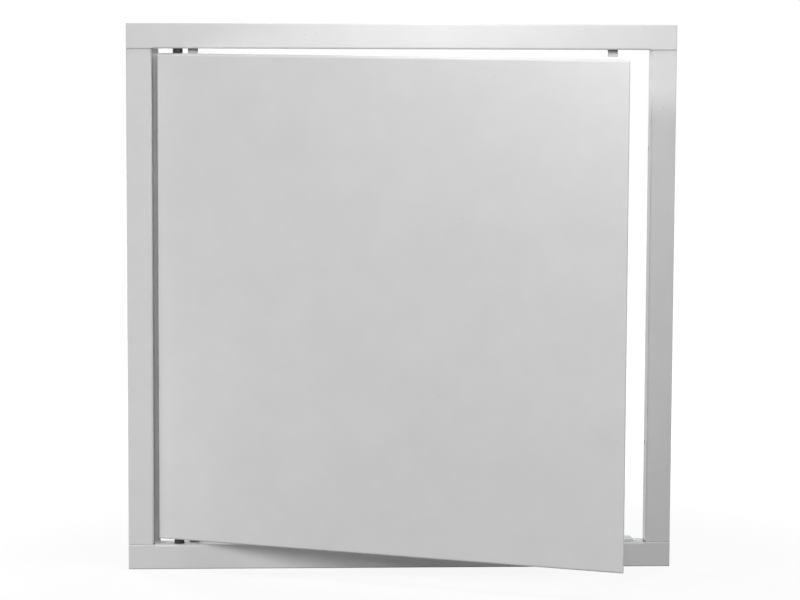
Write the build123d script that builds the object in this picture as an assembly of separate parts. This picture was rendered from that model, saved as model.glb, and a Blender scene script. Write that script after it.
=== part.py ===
from build123d import *
import os

# Access panel: a folded sheet steel picture frame with a flush pan door on two pivot pins.
# Millimetres. The origin is on the wall face of the hinge stile, at mid height.
# X runs across the opening to the free side, Y into the wall, Z up.

# Frame
frame_width = 550.0
frame_height = 550.0
flange_width = 25.0
frame_sheet = 1.2
frame_bend = 0.8            # inside radius of the fold
edge_round = 0.8            # rolled front edge of the flanges
return_depth = 20.0         # how far the folded returns reach behind the wall face
hinge_return_depth = 26.0   # the hinge stile is deeper, and a lip closes the gap beside the door
lip_reach = 6.4             # how far that lip stands into the opening
lap_inset = 1.0             # stile ends stop short of the rails' outer edge by this much
corner_gap = 1.5            # open corner between a rail's return and a stile's return

# Weld lugs that tie the stiles to the rails
lug_length = 18.0
lug_width = 12.0

# Screw holes in the returns
screw_radius = 2.5
screw_pitch = 300.0
screw_depth = 15.0          # behind the wall face

# Door
door_sheet = 1.2
door_bend = 0.8
door_return = 15.0          # overall depth of the pan
hem_width = 10.0            # the free edge is folded flat on itself
hem_end_gap = 8.0           # from the hem's ends to the top and bottom edges
hem_round = 0.9             # outside radius of the folded edge, front and back
return_end_gap = 10.0       # from the ends of the top and bottom returns to the free edge
reveal = 5.0                # gap round the door at the top, bottom and free side
hinge_reveal = 7.6          # wider gap at the hinge side, for the corner that swings inwards
corner_notch = 0.4          # play left between two returns at a corner of the pan
rest_angle = 23.0           # how far the door stands open

# Pivot hinges
pin_radius = 2.5
pin_inset = 18.5            # from the hinge edge of the door to the pin
pin_setback = 10.0          # from the face of the door to the pin
pin_head_radius = 4.0
pin_head_height = 2.0
pin_end = 1.0               # the pin shows this much past its bush
running_fit = 0.05          # radial, pin in bush and bush in rail
seat_gap = 0.3              # door return over bush
bush_flange_radius = 5.0
bush_body_radius = 4.0
bush_lip = 0.5              # radial, snap lip behind the rail
bush_lip_height = 2.0
bracket_sheet = 1.5
bracket_width = 20.0
bracket_height = 30.0
bracket_leg = 13.0

# Stop clips behind the door
clip_sheet = 1.2
clip_width = 10.0
clip_drop = 7.5
clip_inset_hinge = 41.2     # from the opening's hinge side to the middle of a clip
clip_inset_free = 37.5      # from the opening's free side to the middle of a clip
stop_gap = 1.0              # shut door to clip

# Catch spring
spring_sheet = 0.6
spring_bend = 0.6
spring_width = 10.0
spring_foot = 14.0
spring_ramp = 6.0
spring_crest = 12.0
spring_lip = 2.0
spring_end_gap = 12.0       # from the opening's free side to the end of the spring
catch_gap = 0.8             # door return over spring
spring_setback = 5.0        # from the face of the rail to the spring

# Door stiffener
stiffener_sheet = 1.0
stiffener_bend = 0.8
stiffener_flange = 14.0
stiffener_crown = 32.0
stiffener_height = 10.0
stiffener_clearance = 12.0  # from its ends to the pan's returns

# Places worked out from the sizes above
opening_width = frame_width - 2 * flange_width
opening_height = frame_height - 2 * flange_width
opening_left = flange_width / 2
opening_right = opening_left + opening_width
middle_x = opening_left + opening_width / 2
stile_front = -frame_sheet
rail_front = stile_front - frame_sheet

door_left = opening_left + hinge_reveal
door_right = opening_right - reveal
door_width = door_right - door_left
door_height = opening_height - 2 * reveal
door_front = rail_front
door_back = door_front + door_return
door_inner = door_front + door_sheet
hem_back = door_inner + door_sheet

pin_x = door_left + pin_inset
pin_y = door_front + pin_setback


def angle_section(flange, depth, sheet, bend):
    """Folded angle: the flange runs along +X from the fold, the return along +Y."""
    section = make_face(Polyline(
        (0, 0), (flange, 0), (flange, sheet), (sheet, sheet), (sheet, depth), (0, depth), (0, 0),
    ))
    section = fillet(section.vertices().sort_by_distance((0, 0))[0], bend + sheet)
    return fillet(section.vertices().sort_by_distance((sheet, sheet))[0], bend)


def lipped_section(flange, depth, reach, sheet, bend):
    """Folded angle whose return ends in a lip that runs along -X."""
    section = make_face(Polyline(
        (0, 0), (flange, 0), (flange, sheet), (sheet, sheet), (sheet, depth), (-reach, depth),
        (-reach, depth - sheet), (0, depth - sheet), (0, 0),
    ))
    for corner in ((0, 0), (sheet, depth)):
        section = fillet(section.vertices().sort_by_distance(corner)[0], bend + sheet)
    for corner in ((sheet, sheet), (0, depth - sheet)):
        section = fillet(section.vertices().sort_by_distance(corner)[0], bend)
    return section


def strip_section(points, sheet, bend):
    """Folded strip of constant thickness, laid on the left of a line of points."""
    line = FilletPolyline(*points, radius=bend)
    return make_face(offset(line, amount=sheet, side=Side.LEFT).edges())


def block(x_from, x_to, y_from, y_to, z_from, z_to):
    """Rectangular solid between two values on each axis, given in any order."""
    size = (abs(x_to - x_from), abs(y_to - y_from), abs(z_to - z_from))
    middle = ((x_from + x_to) / 2, (y_from + y_to) / 2, (z_from + z_to) / 2)
    return Pos(*middle) * Box(*size)


def round_front(piece, front, axis, place):
    """Roll the front edges of a flange that lie along an axis at a place on the other one."""
    across = Axis.Z if axis == Axis.X else Axis.X
    near = running_fit
    edges = piece.edges().filter_by(axis).filter_by_position(Axis.Y, front - near, front + near)
    edges = edges.filter_by_position(across, place - near, place + near)
    return fillet(edges, edge_round)


def make_rail(side):
    """Top rail for side 1, bottom rail for side -1."""
    edge = side * opening_height / 2
    place = Plane(origin=(middle_x, rail_front, edge), x_dir=(0, 0, side), z_dir=(-side, 0, 0))
    section = angle_section(flange_width, return_depth - rail_front, frame_sheet, frame_bend)
    fold_length = opening_width - 2 * corner_gap
    rail = extrude(place * section, amount=fold_length / 2, both=True)
    for hand in (-1, 1):
        fold_end = middle_x + hand * fold_length / 2
        frame_end = middle_x + hand * frame_width / 2
        rail += block(fold_end, frame_end, rail_front, stile_front, edge, edge + side * flange_width)
        screw_x = middle_x + hand * screw_pitch / 2
        rail -= Pos(screw_x, screw_depth, edge) * Cylinder(screw_radius, flange_width)
    rail -= Pos(pin_x, pin_y, edge) * Cylinder(bush_body_radius + running_fit, flange_width)
    rail = round_front(rail, rail_front, Axis.X, edge + side * flange_width)
    rail = round_front(rail, rail_front, Axis.X, edge)
    for hand in (-1, 1):
        rail = round_front(rail, rail_front, Axis.Z, middle_x + hand * frame_width / 2)
    return rail


def make_stile(side):
    """Hinge stile for side -1, free stile for side 1."""
    edge = middle_x + side * opening_width / 2
    place = Plane(origin=(edge, stile_front, 0), x_dir=(side, 0, 0), z_dir=(0, 0, side))
    if side < 0:
        hinge_depth = hinge_return_depth - stile_front
        section = lipped_section(flange_width, hinge_depth, lip_reach, frame_sheet, frame_bend)
    else:
        section = angle_section(flange_width, return_depth - stile_front, frame_sheet, frame_bend)
    fold_end = opening_height / 2 + 2 * frame_sheet
    stile = extrude(place * section, amount=fold_end, both=True)
    lug_middle = return_depth / 2
    for end in (-1, 1):
        flange_end = end * (frame_height / 2 - lap_inset)
        stile += block(edge, edge + side * flange_width, stile_front, 0, end * fold_end, flange_end)
        stile += block(
            edge + side * frame_sheet, edge - side * lug_length,
            lug_middle - lug_width / 2, lug_middle + lug_width / 2,
            end * (fold_end - frame_sheet), end * fold_end,
        )
        drill = Rot(0, 90, 0) * Cylinder(screw_radius, flange_width)
        stile -= Pos(edge, screw_depth, end * screw_pitch / 2) * drill
    return round_front(stile, stile_front, Axis.Z, edge + side * flange_width)


def make_stop_clip(level, hand):
    """Angle clip under the top rail (level 1) or over the bottom rail (level -1)."""
    front = door_back + stop_gap
    edge = level * opening_height / 2
    inset = clip_inset_hinge if hand < 0 else clip_inset_free
    clip_x = middle_x + hand * (opening_width / 2 - inset)
    place = Plane(origin=(clip_x, front, edge), x_dir=(0, 1, 0), z_dir=(-level, 0, 0))
    section = angle_section(return_depth - front, clip_drop, clip_sheet, frame_bend)
    return extrude(place * section, amount=clip_width / 2, both=True)


def make_bush(level):
    """Flanged bush that snaps into a rail and carries a pin of the door."""
    flange_height = reveal - seat_gap
    body_height = frame_sheet + bush_lip_height
    lip_radius = bush_body_radius + bush_lip
    half = make_face(Polyline(
        (pin_radius + running_fit, -flange_height),
        (bush_flange_radius, -flange_height),
        (bush_flange_radius, 0),
        (bush_body_radius, 0),
        (bush_body_radius, frame_sheet),
        (lip_radius, frame_sheet),
        (bush_body_radius - bush_lip, body_height),
        (pin_radius + running_fit, body_height),
        (pin_radius + running_fit, -flange_height),
    ))
    return stand_at_pin(revolve(Plane.XZ * half, Axis.Z), level)


def make_pin(level):
    """Headed pivot pin, from inside the door's bracket to just past its bush."""
    top = frame_sheet + bush_lip_height + pin_end
    shoulder = -(reveal + door_sheet + bracket_height)
    half = make_face(Polyline(
        (0, shoulder - pin_head_height),
        (pin_head_radius, shoulder - pin_head_height),
        (pin_head_radius, shoulder),
        (pin_radius, shoulder),
        (pin_radius, top - pin_end / 2),
        (pin_radius - pin_end / 2, top),
        (0, top),
        (0, shoulder - pin_head_height),
    ))
    return stand_at_pin(revolve(Plane.XZ * half, Axis.Z), level)


def stand_at_pin(upright, level):
    """Put a turned piece on the pin's axis, upside down at the bottom rail."""
    edge = level * opening_height / 2
    turn = 0 if level > 0 else 180
    return Pos(pin_x, pin_y, edge) * Rot(turn, 0, 0) * upright


def make_bracket(level):
    """Channel bracket inside the pan that holds a pin at two places."""
    outer_end = level * (door_height / 2 - door_sheet)
    inner_end = outer_end - level * bracket_height
    middle = (outer_end + inner_end) / 2
    bend_line = bracket_leg / 2
    channel = Rectangle(bracket_leg, bracket_height)
    channel -= Pos(bracket_sheet, 0) * Rectangle(bracket_leg, bracket_height - 2 * bracket_sheet)
    outside = channel.vertices().group_by(Axis.X)[0]
    channel = fillet(outside, door_bend + bracket_sheet)
    inside = channel.vertices().filter_by(lambda v: abs(v.X - (bracket_sheet - bend_line)) < running_fit)
    channel = fillet(inside, door_bend)
    place = Plane(origin=(pin_x, door_inner + bend_line, middle), x_dir=(0, 1, 0), z_dir=(1, 0, 0))
    bracket = extrude(place * channel, amount=bracket_width / 2, both=True)
    return bracket - Pos(pin_x, pin_y, middle) * Cylinder(pin_radius + running_fit, 2 * bracket_height)


def make_door():
    """Folded pan: a flat face with returns on three sides and a flat hem on the free edge."""
    half_height = door_height / 2
    pan = block(door_left, door_right, door_front, door_back, -half_height, half_height)
    front_edges = pan.edges().group_by(Axis.Y)[0]
    pan = fillet(front_edges.sort_by(Axis.X)[:-1], door_bend + door_sheet)
    hollow = block(
        door_left + door_sheet, door_right + door_sheet,
        door_inner, door_back + door_sheet,
        -half_height + door_sheet, half_height - door_sheet,
    )
    inner_edges = hollow.edges().group_by(Axis.Y)[0]
    pan -= fillet(inner_edges.sort_by(Axis.X)[:-1], door_bend)
    pan -= block(
        door_right - return_end_gap, door_right + door_sheet,
        door_inner, door_back + door_sheet,
        -half_height - door_sheet, half_height + door_sheet,
    )
    hem_end = half_height - hem_end_gap
    pan += block(door_right - hem_width, door_right, door_inner, hem_back, -hem_end, hem_end)
    free_edges = pan.edges().filter_by(Axis.Z).group_by(Axis.X)[-1].sort_by(Axis.Y)
    pan = fillet(free_edges[0], hem_round)
    free_edges = pan.edges().filter_by(Axis.Z).group_by(Axis.X)[-1].sort_by(Axis.Y)
    pan = fillet(free_edges[-1], hem_round)
    notch = door_sheet + corner_notch
    notch_front = door_front + door_sheet + door_bend
    for level in (-1, 1):
        corner_z = level * half_height
        pan -= block(
            door_left, door_left + notch, notch_front, door_back,
            corner_z, corner_z - level * notch,
        )
        pan -= Pos(pin_x, pin_y, corner_z) * Cylinder(pin_radius + running_fit, 4 * door_sheet)
    return pan


def make_stiffener():
    """Hat section up the middle of the door's back."""
    crown = stiffener_crown / 2
    foot = crown + stiffener_flange
    rise = stiffener_height - stiffener_sheet
    points = [(-foot, 0), (-crown, 0), (-crown, rise), (crown, rise), (crown, 0), (foot, 0)]
    section = strip_section(points, stiffener_sheet, stiffener_bend)
    length = door_height - 2 * (door_sheet + stiffener_clearance)
    place = Plane(origin=((door_left + door_right) / 2, door_inner, 0), x_dir=(1, 0, 0), z_dir=(0, 0, 1))
    return extrude(place * section, amount=length / 2, both=True)


def make_catch_spring():
    """Leaf spring on the bottom rail: a foot, a ramp and a crest with a turned-down end."""
    rise = reveal - catch_gap - spring_sheet
    ramp_end = spring_foot + spring_ramp
    crest_end = ramp_end + spring_crest
    points = [
        (0, 0), (spring_foot, 0), (ramp_end, rise), (crest_end, rise),
        (crest_end + spring_lip, rise - spring_lip),
    ]
    section = strip_section(points, spring_sheet, spring_bend)
    start_x = opening_right - spring_end_gap - crest_end - spring_lip
    front = rail_front + spring_setback
    place = Plane(origin=(start_x, front, -opening_height / 2), x_dir=(1, 0, 0), z_dir=(0, -1, 0))
    return extrude(place * section, amount=-spring_width)


def swing(piece):
    """Turn a piece of the door from shut to its rest position."""
    return piece.rotate(Axis((pin_x, pin_y, 0), (0, 0, -1)), rest_angle)


def save(name, piece):
    export_step(piece, f"parts/{name}.step")
    print(name, round(piece.volume))


os.makedirs("parts", exist_ok=True)

save("left_stile", make_stile(-1))
save("right_stile", make_stile(1))
save("catch_spring", make_catch_spring())
save("door_panel", swing(make_door()))
save("door_stiffener", swing(make_stiffener()))

for level_name, level in (("top", 1), ("bottom", -1)):
    save(f"{level_name}_rail", make_rail(level))
    save(f"hinge_bush_{level_name}", make_bush(level))
    save(f"hinge_pin_{level_name}", swing(make_pin(level)))
    save(f"hinge_bracket_{level_name}", swing(make_bracket(level)))
    for hand_name, hand in (("left", -1), ("right", 1)):
        save(f"stop_clip_{level_name}_{hand_name}", make_stop_clip(level, hand))
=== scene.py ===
import math
import bpy
from mathutils import Euler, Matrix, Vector


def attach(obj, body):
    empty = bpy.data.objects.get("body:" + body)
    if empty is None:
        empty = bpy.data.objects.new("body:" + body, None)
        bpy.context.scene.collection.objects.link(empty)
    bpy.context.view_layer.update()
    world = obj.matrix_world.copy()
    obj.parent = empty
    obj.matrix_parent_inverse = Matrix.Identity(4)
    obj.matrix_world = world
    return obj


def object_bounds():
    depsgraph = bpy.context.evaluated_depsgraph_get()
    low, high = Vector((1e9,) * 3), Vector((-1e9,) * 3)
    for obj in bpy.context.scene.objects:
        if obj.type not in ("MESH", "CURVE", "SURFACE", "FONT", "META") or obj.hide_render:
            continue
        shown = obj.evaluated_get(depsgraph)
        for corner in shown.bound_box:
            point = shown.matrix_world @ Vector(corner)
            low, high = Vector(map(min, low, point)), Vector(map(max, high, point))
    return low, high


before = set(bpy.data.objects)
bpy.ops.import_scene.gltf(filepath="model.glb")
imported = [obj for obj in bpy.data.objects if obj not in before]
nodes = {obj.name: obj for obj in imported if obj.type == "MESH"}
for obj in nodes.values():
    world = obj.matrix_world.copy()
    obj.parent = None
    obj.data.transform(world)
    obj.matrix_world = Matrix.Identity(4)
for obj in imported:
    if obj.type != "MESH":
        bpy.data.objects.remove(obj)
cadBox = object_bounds()
print("frame loaded, pieces:", len(nodes))

mm = 0.001
nearlyAll = 0.9  # past this share of a height, radius or normal, an edge or face counts as the outermost


def hexToLinear(code):
    parts = [int(code[i:i + 2], 16) / 255 for i in (1, 3, 5)]
    return [p / 12.92 if p <= 0.04045 else ((p + 0.055) / 1.055) ** 2.4 for p in parts] + [1.0]


def addNode(tree, kind, settings=None, inputs=None):
    node = tree.nodes.new(kind)
    for name, value in (settings or {}).items():
        setattr(node, name, value)
    for name, value in (inputs or {}).items():
        if isinstance(value, bpy.types.NodeSocket):
            tree.links.new(value, node.inputs[name])
        else:
            node.inputs[name].default_value = value
    return node


def newMaterial(name):
    made = bpy.data.materials.new(name)
    made.use_nodes = True
    made.node_tree.nodes.clear()
    return made, made.node_tree


# polyester powder coat, sprayed dry and baked on steel: an even satin white, with fine orange
# peel, a sheet that is not quite flat, and the odd nib of dust under the skin
powderCoat = {
    "white": "#EEEEEE", "whiteDeep": "#E2E2E2", "nib": "#C0C0BE",
    "mottleSize": 46 * mm, "mottleDetail": 5.0, "mottleRough": 0.6,
    "nibSpacing": 15 * mm, "nibLow": 0.20 * mm, "nibHigh": 0.48 * mm,
    "peelSize": 1.7 * mm, "peelDetail": 2.0, "peelHeight": 0.012 * mm,
    "waveSize": 150 * mm, "waveDetail": 1.0, "waveHeight": 0.35 * mm,
    "edgeRound": 0.5 * mm, "edgeSamples": 6,
    "thin": "#D6D7D8", "thinFrom": 0.98, "thinFull": 0.80, "thinMost": 0.7,  # by the turn of an edge
    # painted shade: grey mixed into the white in laps and inside corners, set by ambient occlusion
    "paintedShade": "#7A7A78", "paintedShadeReach": 2.2 * mm, "paintedShadeSamples": 6,
    "paintedShadeFrom": 0.88, "paintedShadeFull": 0.50, "paintedShadeMost": 0.9,  # by how open the spot is
    "roughLow": 0.36, "roughHigh": 0.45, "ior": 1.5,
}


def makePowderCoat(spec):
    made, tree = newMaterial("white_powder_coat")
    spot = addNode(tree, "ShaderNodeTexCoord").outputs["Object"]
    mottle = addNode(tree, "ShaderNodeTexNoise", None, {
        "Vector": spot, "Scale": 1 / spec["mottleSize"], "Detail": spec["mottleDetail"],
        "Roughness": spec["mottleRough"]})
    skin = addNode(tree, "ShaderNodeMix", {"data_type": "RGBA"}, {0: mottle.outputs["Fac"]})
    skin.inputs[6].default_value = hexToLinear(spec["white"])
    skin.inputs[7].default_value = hexToLinear(spec["whiteDeep"])
    # nibs: flecks of dust well under a millimetre across, each cell's of its own size
    cell = addNode(tree, "ShaderNodeTexVoronoi", None, {"Vector": spot, "Scale": 1 / spec["nibSpacing"]})
    pick = addNode(tree, "ShaderNodeSeparateColor", None, {"Color": cell.outputs["Color"]})
    reach = addNode(tree, "ShaderNodeMapRange", None, {
        "Value": pick.outputs["Red"], "To Min": spec["nibLow"] / spec["nibSpacing"],
        "To Max": spec["nibHigh"] / spec["nibSpacing"]})
    fleck = addNode(tree, "ShaderNodeMath", {"operation": "LESS_THAN"}, {
        0: cell.outputs["Distance"], 1: reach.outputs[0]})
    flecked = addNode(tree, "ShaderNodeMix", {"data_type": "RGBA"}, {
        0: fleck.outputs[0], 6: skin.outputs[2]})
    flecked.inputs[7].default_value = hexToLinear(spec["nib"])
    rough = addNode(tree, "ShaderNodeMapRange", None, {
        "Value": mottle.outputs["Fac"], "To Min": spec["roughLow"], "To Max": spec["roughHigh"]})
    # the coat rounds each cut edge and draws thin on it
    edge = addNode(tree, "ShaderNodeBevel", {"samples": spec["edgeSamples"]}, {"Radius": spec["edgeRound"]})
    flat = addNode(tree, "ShaderNodeNewGeometry").outputs["Normal"]
    along = addNode(tree, "ShaderNodeVectorMath", {"operation": "DOT_PRODUCT"}, {
        0: edge.outputs[0], 1: flat})
    thinned = addNode(tree, "ShaderNodeMapRange", None, {
        "Value": along.outputs["Value"], "From Min": spec["thinFrom"], "From Max": spec["thinFull"],
        "To Max": spec["thinMost"]})
    worn = addNode(tree, "ShaderNodeMix", {"data_type": "RGBA"}, {
        0: thinned.outputs[0], 6: flecked.outputs[2]})
    worn.inputs[7].default_value = hexToLinear(spec["thin"])
    # painted shade: a grey line darkens laps and inside corners, where shade falls, by how closed-in each
    # spot is
    room = addNode(tree, "ShaderNodeAmbientOcclusion", {"samples": spec["paintedShadeSamples"]}, {
        "Distance": spec["paintedShadeReach"]})
    paintedShadeMask = addNode(tree, "ShaderNodeMapRange", None, {
        "Value": room.outputs["AO"], "From Min": spec["paintedShadeFrom"], "From Max": spec["paintedShadeFull"],
        "To Max": spec["paintedShadeMost"]})
    colour = addNode(tree, "ShaderNodeMix", {"data_type": "RGBA"}, {
        0: paintedShadeMask.outputs[0], 6: worn.outputs[2]})
    colour.inputs[7].default_value = hexToLinear(spec["paintedShade"])
    # the sheet's wave, then the peel, over the rounded edge
    wave = addNode(tree, "ShaderNodeTexNoise", None, {
        "Vector": spot, "Scale": 1 / spec["waveSize"], "Detail": spec["waveDetail"]})
    waved = addNode(tree, "ShaderNodeBump", None, {
        "Height": wave.outputs["Fac"], "Strength": 1.0, "Distance": spec["waveHeight"],
        "Normal": edge.outputs[0]})
    peel = addNode(tree, "ShaderNodeTexNoise", None, {
        "Vector": spot, "Scale": 1 / spec["peelSize"], "Detail": spec["peelDetail"]})
    peeled = addNode(tree, "ShaderNodeBump", None, {
        "Height": peel.outputs["Fac"], "Strength": 1.0, "Distance": spec["peelHeight"],
        "Normal": waved.outputs[0]})
    shader = addNode(tree, "ShaderNodeBsdfPrincipled", None, {
        "Base Color": colour.outputs[2], "Roughness": rough.outputs[0], "IOR": spec["ior"],
        "Normal": peeled.outputs[0]})
    addNode(tree, "ShaderNodeOutputMaterial", None, {"Surface": shader.outputs[0]})
    return made


# zinc plate on drawn steel: a cool soft-bright grey, faintly clouded, drawn along its length
zincPlate = {
    "bright": "#C3C6C8", "cloud": "#A4A8AB", "cloudSize": 5 * mm, "cloudDetail": 4.0, "cloudRough": 0.6,
    "drawnSize": 0.5 * mm, "drawnDetail": 2.0, "drawnHeight": 0.01 * mm,
    "drawnStretch": (1.0, 1.0, 0.08),  # long upright streaks
    "roughLow": 0.28, "roughHigh": 0.46,
}


def makeZincPlate(spec):
    made, tree = newMaterial("zinc_plated_steel")
    spot = addNode(tree, "ShaderNodeTexCoord").outputs["Object"]
    cloud = addNode(tree, "ShaderNodeTexNoise", None, {
        "Vector": spot, "Scale": 1 / spec["cloudSize"], "Detail": spec["cloudDetail"],
        "Roughness": spec["cloudRough"]})
    colour = addNode(tree, "ShaderNodeMix", {"data_type": "RGBA"}, {0: cloud.outputs["Fac"]})
    colour.inputs[6].default_value = hexToLinear(spec["bright"])
    colour.inputs[7].default_value = hexToLinear(spec["cloud"])
    rough = addNode(tree, "ShaderNodeMapRange", None, {
        "Value": cloud.outputs["Fac"], "To Min": spec["roughLow"], "To Max": spec["roughHigh"]})
    long = addNode(tree, "ShaderNodeMapping", None, {"Vector": spot, "Scale": spec["drawnStretch"]})
    drawn = addNode(tree, "ShaderNodeTexNoise", None, {
        "Vector": long.outputs[0], "Scale": 1 / spec["drawnSize"], "Detail": spec["drawnDetail"]})
    bump = addNode(tree, "ShaderNodeBump", None, {
        "Height": drawn.outputs["Fac"], "Strength": 1.0, "Distance": spec["drawnHeight"]})
    shader = addNode(tree, "ShaderNodeBsdfPrincipled", None, {
        "Base Color": colour.outputs[2], "Metallic": 1.0, "Roughness": rough.outputs[0],
        "Normal": bump.outputs[0]})
    addNode(tree, "ShaderNodeOutputMaterial", None, {"Surface": shader.outputs[0]})
    return made


# moulded black nylon: a dull near-black with a spark-eroded grain, paler where it rubs
blackNylon = {
    "body": "#151515", "rubbed": "#262626", "rubSize": 3 * mm, "rubDetail": 2.0,
    "grainSize": 0.35 * mm, "grainDetail": 1.0, "grainHeight": 0.02 * mm,
    "roughLow": 0.45, "roughHigh": 0.62, "ior": 1.53,
}


def makeBlackNylon(spec):
    made, tree = newMaterial("moulded_black_nylon")
    spot = addNode(tree, "ShaderNodeTexCoord").outputs["Object"]
    rub = addNode(tree, "ShaderNodeTexNoise", None, {
        "Vector": spot, "Scale": 1 / spec["rubSize"], "Detail": spec["rubDetail"]})
    colour = addNode(tree, "ShaderNodeMix", {"data_type": "RGBA"}, {0: rub.outputs["Fac"]})
    colour.inputs[6].default_value = hexToLinear(spec["body"])
    colour.inputs[7].default_value = hexToLinear(spec["rubbed"])
    rough = addNode(tree, "ShaderNodeMapRange", None, {
        "Value": rub.outputs["Fac"], "To Min": spec["roughHigh"], "To Max": spec["roughLow"]})
    grain = addNode(tree, "ShaderNodeTexNoise", None, {
        "Vector": spot, "Scale": 1 / spec["grainSize"], "Detail": spec["grainDetail"]})
    bump = addNode(tree, "ShaderNodeBump", None, {
        "Height": grain.outputs["Fac"], "Strength": 1.0, "Distance": spec["grainHeight"]})
    shader = addNode(tree, "ShaderNodeBsdfPrincipled", None, {
        "Base Color": colour.outputs[2], "Roughness": rough.outputs[0], "IOR": spec["ior"],
        "Normal": bump.outputs[0]})
    addNode(tree, "ShaderNodeOutputMaterial", None, {"Surface": shader.outputs[0]})
    return made


coatWhite = makePowderCoat(powderCoat)
steelZinc = makeZincPlate(zincPlate)
nylonBlack = makeBlackNylon(blackNylon)


def finishOf(name):
    if name.startswith("hinge_bush"):
        return nylonBlack
    if name.startswith(("hinge_pin", "hinge_bracket")) or name == "catch_spring":
        return steelZinc
    return coatWhite


for name, node in nodes.items():
    finish = finishOf(name)
    if not node.material_slots:
        node.data.materials.append(finish)
    for holder in node.material_slots:
        holder.material = finish
print("finishes on frame, door, hinges and catch")

# where the door stands: its pieces are laid out shut, then swung about the pin
doorSwing = {"pin": (38.6 * mm, 7.6 * mm), "angle": math.radians(-23.0)}
panel = {"middleX": 262.5 * mm, "openHalf": 250 * mm, "sheet": 1.2 * mm, "doorMiddleX": 263.8 * mm}


def deselectAll():
    if bpy.context.mode != "OBJECT":
        bpy.ops.object.mode_set(mode="OBJECT")
    bpy.ops.object.select_all(action="DESELECT")


def pickFaces(piece, wanted):
    bpy.ops.object.mode_set(mode="EDIT")
    bpy.ops.mesh.select_mode(type="FACE")
    bpy.ops.mesh.select_all(action="DESELECT")
    bpy.ops.object.mode_set(mode="OBJECT")
    for face in piece.data.polygons:
        face.select = wanted(face)
    bpy.ops.object.mode_set(mode="EDIT")


def pickEdges(piece, wanted):
    bpy.ops.object.mode_set(mode="EDIT")
    bpy.ops.mesh.select_mode(type="EDGE")
    bpy.ops.mesh.select_all(action="DESELECT")
    bpy.ops.object.mode_set(mode="OBJECT")
    spots = piece.data.vertices
    for rim in piece.data.edges:
        rim.select = wanted(spots[rim.vertices[0]].co, spots[rim.vertices[1]].co)
    bpy.ops.object.mode_set(mode="EDIT")


def smoothOff(piece, angle):
    deselectAll()
    piece.select_set(True)
    bpy.ops.object.shade_smooth_by_angle(angle=angle)


def swung(place):
    pinX, pinY = doorSwing["pin"]
    c, s = math.cos(doorSwing["angle"]), math.sin(doorSwing["angle"])
    dx, dy = place[0] - pinX, place[1] - pinY
    return (pinX + c * dx - s * dy, pinY + s * dx + c * dy, place[2])


# copies of one modelled mark, each turned to its surface, joined into one piece of a body
def setOut(pattern, name, places, body, finish):
    copies = []
    for place, facing in places:
        copy = pattern.copy()
        copy.data = pattern.data.copy()
        bpy.context.scene.collection.objects.link(copy)
        turn = Vector((0, 0, 1)).rotation_difference(Vector(facing)).to_euler()
        if body == "door":
            place = swung(place)
            turn = (Euler((0, 0, doorSwing["angle"])).to_matrix() @ turn.to_matrix()).to_euler()
        copy.location = place
        copy.rotation_euler = turn
        copies.append(copy)
    deselectAll()
    for copy in copies:
        copy.select_set(True)
    bpy.context.view_layer.objects.active = copies[0]
    bpy.ops.object.join()
    bpy.ops.object.transform_apply(location=True, rotation=True, scale=True)
    piece = bpy.context.active_object
    piece.name = name
    piece.data.name = name
    piece.data.materials.clear()
    piece.data.materials.append(finish)
    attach(piece, body)


def dropPattern(pattern):
    deselectAll()
    pattern.select_set(True)
    bpy.context.view_layer.objects.active = pattern
    bpy.ops.object.delete()


# spot weld: a shallow pressed dish with a low rim; land, slope and floor are shares of the radius,
# dip a share of the dish and roll a share of the rim
weldMark = {"radius": 2.6 * mm, "rim": 0.28 * mm, "root": 0.4 * mm, "dish": 0.22 * mm, "sides": 28,
            "land": 0.30, "slope": 0.22, "floor": 0.22, "dip": 0.2, "roll": 0.8, "rollSteps": 3,
            "smooth": math.radians(50)}


def makeWeldMark(spec):
    deselectAll()
    bpy.ops.mesh.primitive_cylinder_add(
        vertices=spec["sides"], radius=spec["radius"], depth=spec["rim"] + spec["root"],
        location=(0, 0, (spec["rim"] - spec["root"]) / 2))
    mark = bpy.context.active_object
    bpy.ops.object.transform_apply(location=True)
    pickFaces(mark, lambda face: face.normal.z > nearlyAll)
    bpy.ops.mesh.inset(thickness=spec["radius"] * spec["land"], depth=0)
    bpy.ops.mesh.inset(thickness=spec["radius"] * spec["slope"], depth=-spec["dish"])
    bpy.ops.mesh.inset(thickness=spec["radius"] * spec["floor"], depth=-spec["dish"] * spec["dip"])
    bpy.ops.object.mode_set(mode="OBJECT")
    pickEdges(mark, lambda a, b: min(a.z, b.z) > spec["rim"] * nearlyAll
              and min(a.xy.length, b.xy.length) > spec["radius"] * nearlyAll)
    bpy.ops.mesh.bevel(offset=spec["rim"] * spec["roll"], segments=spec["rollSteps"])
    smoothOff(mark, spec["smooth"])
    return mark


weldPattern = makeWeldMark(weldMark)

# at each corner: both sides of the stile's lug, and two behind the lap
cornerWelds = {"lugIn": 9.5 * mm, "lugY": 10 * mm, "lugZ": 252.4 * mm,
               "lapZ": 262.5 * mm, "lapX": 262.5 * mm, "lapGap": 5.5 * mm}
frameWeldPlaces = []
for level in (-1, 1):
    for hand in (-1, 1):
        lugX = panel["middleX"] + hand * (panel["openHalf"] - cornerWelds["lugIn"])
        frameWeldPlaces.append(((lugX, cornerWelds["lugY"], level * cornerWelds["lugZ"]), (0, 0, level)))
        frameWeldPlaces.append(((lugX, cornerWelds["lugY"], level * panel["openHalf"]), (0, 0, -level)))
        for step in (-1, 1):
            lapX = panel["middleX"] + hand * cornerWelds["lapX"] + step * cornerWelds["lapGap"]
            frameWeldPlaces.append(((lapX, 0.0, level * cornerWelds["lapZ"]), (0, 1, 0)))
setOut(weldPattern, "corner_spot_welds", frameWeldPlaces, "frame", coatWhite)

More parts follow.
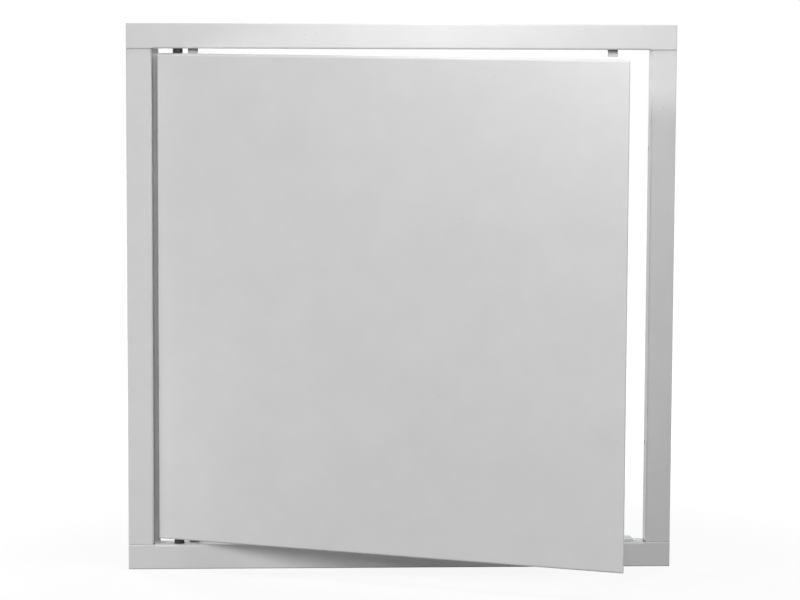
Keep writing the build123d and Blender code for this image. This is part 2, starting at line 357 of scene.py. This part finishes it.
stiffenerWelds = {"sideX": 23 * mm, "backY": -0.2 * mm, "firstZ": -205 * mm, "pitch": 82 * mm, "count": 6}
doorWeldPlaces = []
for row in range(stiffenerWelds["count"]):
    for hand in (-1, 1):
        doorWeldPlaces.append(((
            panel["doorMiddleX"] + hand * stiffenerWelds["sideX"], stiffenerWelds["backY"],
            stiffenerWelds["firstZ"] + row * stiffenerWelds["pitch"]), (0, 1, 0)))
setOut(weldPattern, "stiffener_spot_welds", doorWeldPlaces, "door", coatWhite)

bracketWelds = {"sideX": 6 * mm, "backY": 0.3 * mm, "middleZ": 228.8 * mm}
bracketWeldPlaces = []
for level in (-1, 1):
    for hand in (-1, 1):
        bracketWeldPlaces.append(((
            doorSwing["pin"][0] + hand * bracketWelds["sideX"], bracketWelds["backY"],
            level * bracketWelds["middleZ"]), (0, 1, 0)))
setOut(weldPattern, "bracket_spot_welds", bracketWeldPlaces, "door", steelZinc)
dropPattern(weldPattern)
print("spot welds on laps, lugs, stiffener and brackets")

# punched screw hole: the paint builds a low rounded bead on the side the punch came out
holeBead = {"major": 3.0 * mm, "minor": 0.5 * mm, "flat": 0.6, "cut": -0.12 * mm,
            "roundSides": 36, "beadSides": 12, "smooth": math.radians(50),
            "depthY": 15 * mm, "pitch": 300 * mm}


def makeHoleBead(spec):
    deselectAll()
    bpy.ops.mesh.primitive_torus_add(
        major_segments=spec["roundSides"], minor_segments=spec["beadSides"],
        major_radius=spec["major"], minor_radius=spec["minor"], location=(0, 0, 0))
    bead = bpy.context.active_object
    bead.scale = (1, 1, spec["flat"])
    bpy.ops.object.transform_apply(scale=True)
    bpy.ops.object.mode_set(mode="EDIT")
    bpy.ops.mesh.select_all(action="SELECT")
    bpy.ops.mesh.bisect(plane_co=(0, 0, spec["cut"]), plane_no=(0, 0, 1), clear_inner=True)
    smoothOff(bead, spec["smooth"])
    return bead


beadPattern = makeHoleBead(holeBead)
beadPlaces = []
for side in (-1, 1):
    for step in (-1, 1):
        run = step * holeBead["pitch"] / 2
        outZ = side * (panel["openHalf"] + panel["sheet"])
        outX = panel["middleX"] + side * (panel["openHalf"] + panel["sheet"])
        beadPlaces.append(((panel["middleX"] + run, holeBead["depthY"], outZ), (0, 0, side)))
        beadPlaces.append(((outX, holeBead["depthY"], run), (side, 0, 0)))
setOut(beadPattern, "screw_hole_beads", beadPlaces, "frame", coatWhite)
dropPattern(beadPattern)

# blind rivet through the foot of the catch spring and the bottom rail; crown and sink are shares
# of an end's height
catchRivet = {"x": 472.5 * mm, "y": 7.6 * mm, "headZ": -249.4 * mm, "tailZ": -251.2 * mm,
              "headRadius": 2.6 * mm, "headHeight": 0.9 * mm, "bore": 0.9 * mm, "root": 0.2 * mm,
              "tailRadius": 2.0 * mm, "tailHeight": 1.6 * mm, "tailBoreShare": 0.6,
              "sides": 32, "crown": 0.75, "crownSteps": 5, "leastLand": 0.05 * mm,
              "boreSlope": 0.08 * mm, "sink": 0.55, "flatTop": 0.99, "smooth": math.radians(40)}


def makeRivetEnd(spec, radius, height, bore):
    deselectAll()
    bpy.ops.mesh.primitive_cylinder_add(
        vertices=spec["sides"], radius=radius, depth=height + spec["root"],
        location=(0, 0, (height - spec["root"]) / 2))
    end = bpy.context.active_object
    bpy.ops.object.transform_apply(location=True)
    pickEdges(end, lambda a, b: min(a.z, b.z) > height * nearlyAll)
    bpy.ops.mesh.bevel(offset=height * spec["crown"], segments=spec["crownSteps"])
    pickFaces(end, lambda face: face.normal.z > spec["flatTop"] and face.center.z > height * nearlyAll)
    inner = radius - height * spec["crown"]
    bpy.ops.mesh.inset(thickness=max(inner - bore, spec["leastLand"]), depth=0)
    bpy.ops.mesh.inset(thickness=spec["boreSlope"], depth=-height * spec["sink"])
    smoothOff(end, spec["smooth"])
    return end


headPattern = makeRivetEnd(
    catchRivet, catchRivet["headRadius"], catchRivet["headHeight"], catchRivet["bore"])
headPlace = (catchRivet["x"], catchRivet["y"], catchRivet["headZ"])
setOut(headPattern, "catch_rivet_head", [(headPlace, (0, 0, 1))], "frame", steelZinc)
dropPattern(headPattern)
tailPattern = makeRivetEnd(
    catchRivet, catchRivet["tailRadius"], catchRivet["tailHeight"],
    catchRivet["bore"] * catchRivet["tailBoreShare"])
tailPlace = (catchRivet["x"], catchRivet["y"], catchRivet["tailZ"])
setOut(tailPattern, "catch_rivet_tail", [(tailPlace, (0, 0, -1))], "frame", steelZinc)
dropPattern(tailPattern)
print("hole beads and catch rivet")


# 1 for the rays that see the white studio: from the camera, off metal and through clear things
def seenRays(tree):
    path = addNode(tree, "ShaderNodeLightPath")
    seen = addNode(tree, "ShaderNodeMath", {"operation": "MAXIMUM"}, {
        0: path.outputs["Is Camera Ray"], 1: path.outputs["Is Glossy Ray"]})
    seenAll = addNode(tree, "ShaderNodeMath", {"operation": "MAXIMUM"}, {
        0: seen.outputs[0], 1: path.outputs["Is Transmission Ray"]})
    return seenAll.outputs[0]


# floor: plain, seen as white away from the panel and a little less beside it, where the shadow
# shows; what it throws back on the panel is only a mid grey
floorSpec = {"half": 6.0, "bounce": "#606060", "rough": 0.9, "specular": 0.1,
             "glowNear": 0.87, "glowFar": 1.0, "nearRadius": 0.35, "farRadius": 0.95, "drop": 0.3 * mm}


def makeFloor(spec):
    deselectAll()
    middle = (cadBox[0] + cadBox[1]) / 2
    bpy.ops.mesh.primitive_plane_add(
        size=2 * spec["half"], location=(middle.x, middle.y, cadBox[0].z - spec["drop"]))
    floor = bpy.context.active_object
    floor.name = "studio_floor"
    made, tree = newMaterial("studio_floor_paint")
    seen = seenRays(tree)
    spot = addNode(tree, "ShaderNodeTexCoord").outputs["Object"]
    reach = addNode(tree, "ShaderNodeVectorMath", {"operation": "LENGTH"}, {0: spot})
    level = addNode(tree, "ShaderNodeMapRange", {"interpolation_type": "SMOOTHSTEP"}, {
        "Value": reach.outputs["Value"], "From Min": spec["nearRadius"], "From Max": spec["farRadius"],
        "To Min": spec["glowNear"], "To Max": spec["glowFar"]})
    glow = addNode(tree, "ShaderNodeMath", {"operation": "MULTIPLY"}, {0: seen, 1: level.outputs[0]})
    shader = addNode(tree, "ShaderNodeBsdfPrincipled", None, {
        "Base Color": hexToLinear(spec["bounce"]), "Roughness": spec["rough"],
        "Specular IOR Level": spec["specular"],
        "Emission Color": (1, 1, 1, 1), "Emission Strength": glow.outputs[0]})
    addNode(tree, "ShaderNodeOutputMaterial", None, {"Surface": shader.outputs[0]})
    floor.data.materials.append(made)


makeFloor(floorSpec)

# soft studio light: the room's own fill, then the lamps
roomSpec = {"fill": 0.04, "seen": 1.0}


def makeRoom(spec):
    world = bpy.data.worlds.new("studio_room")
    world.use_nodes = True
    tree = world.node_tree
    tree.nodes.clear()
    level = addNode(tree, "ShaderNodeMapRange", None, {
        "Value": seenRays(tree), "To Min": spec["fill"], "To Max": spec["seen"]})
    back = addNode(tree, "ShaderNodeBackground", None, {
        "Color": (1, 1, 1, 1), "Strength": level.outputs[0]})
    addNode(tree, "ShaderNodeOutputWorld", None, {"Surface": back.outputs[0]})
    bpy.context.scene.world = world


makeRoom(roomSpec)

# places and sizes in metres, power in watts; all lamps face one point in the opening
lampSpecs = [
    {"name": "left_bank", "place": (-4.18, -4.44, 1.90), "size": 1.00, "power": 129.0},  # main light
    {"name": "front_bank", "place": (0.26, -2.443, 0.889), "size": 0.4, "power": 7.5},
    {"name": "right_bank", "place": (1.11, -2.33, 0.80), "size": 0.4, "power": 14.8},
    {"name": "right_side", "place": (1.85, -1.90, 0.80), "size": 0.4, "power": 2.0},
    {"name": "left_low", "place": (-0.35, -0.15, -0.20), "size": 0.14, "power": 0.26},  # hinge corner
    {"name": "top_bar", "place": (0.30, -0.10, 0.38), "size": 0.16, "power": 0.107},  # top rail's glow
    {"name": "door_top", "place": (0.45, -0.30, 0.32), "size": 0.12, "power": 0.075},  # free corner
    {"name": "top_soft", "place": (0.45, -0.32, 1.50), "size": 0.45, "power": 5.0},  # upper edges
    {"name": "back_left", "place": (-0.90, 1.50, 0.50), "size": 0.6, "power": 14.0},
    {"name": "back_right", "place": (1.50, 1.70, 0.80), "size": 0.6, "power": 10.0},
]
lampAim = Vector((0.26, 0.0, 0.0))


def makeLamps(specs):
    for spec in specs:
        data = bpy.data.lights.new(spec["name"], "AREA")
        data.shape = "SQUARE"
        data.size = spec["size"]
        data.energy = spec["power"]
        lamp = bpy.data.objects.new(spec["name"], data)
        bpy.context.scene.collection.objects.link(lamp)
        lamp.location = spec["place"]
        lamp.rotation_euler = (lampAim - lamp.location).to_track_quat("-Z", "Y").to_euler()


makeLamps(lampSpecs)

# camera: a long lens a little left of the panel's middle and above it
cameraSpec = {"middle": (0.2625, 0.0, 0.0), "distance": 2.941, "azimuth": -3.00, "elevation": 6.28,
              "aim": (0.2610, 0.0, -0.0016), "roll": 0.26, "lens": 131.5, "sensor": 36.0}


def makeCamera(spec):
    turn, rise = math.radians(spec["azimuth"]), math.radians(spec["elevation"])
    away = Vector((math.sin(turn) * math.cos(rise), -math.cos(turn) * math.cos(rise), math.sin(rise)))
    data = bpy.data.cameras.new("studio_camera")
    data.lens = spec["lens"]
    data.sensor_width = spec["sensor"]
    camera = bpy.data.objects.new("studio_camera", data)
    bpy.context.scene.collection.objects.link(camera)
    camera.location = Vector(spec["middle"]) + away * spec["distance"]
    look = (Vector(spec["aim"]) - camera.location).to_track_quat("-Z", "Y").to_euler()
    look.rotate_axis("Z", math.radians(spec["roll"]))
    camera.rotation_euler = look
    bpy.context.scene.camera = camera


makeCamera(cameraSpec)
bpy.context.scene.view_settings.view_transform = "Standard"
print("floor, light and camera set")
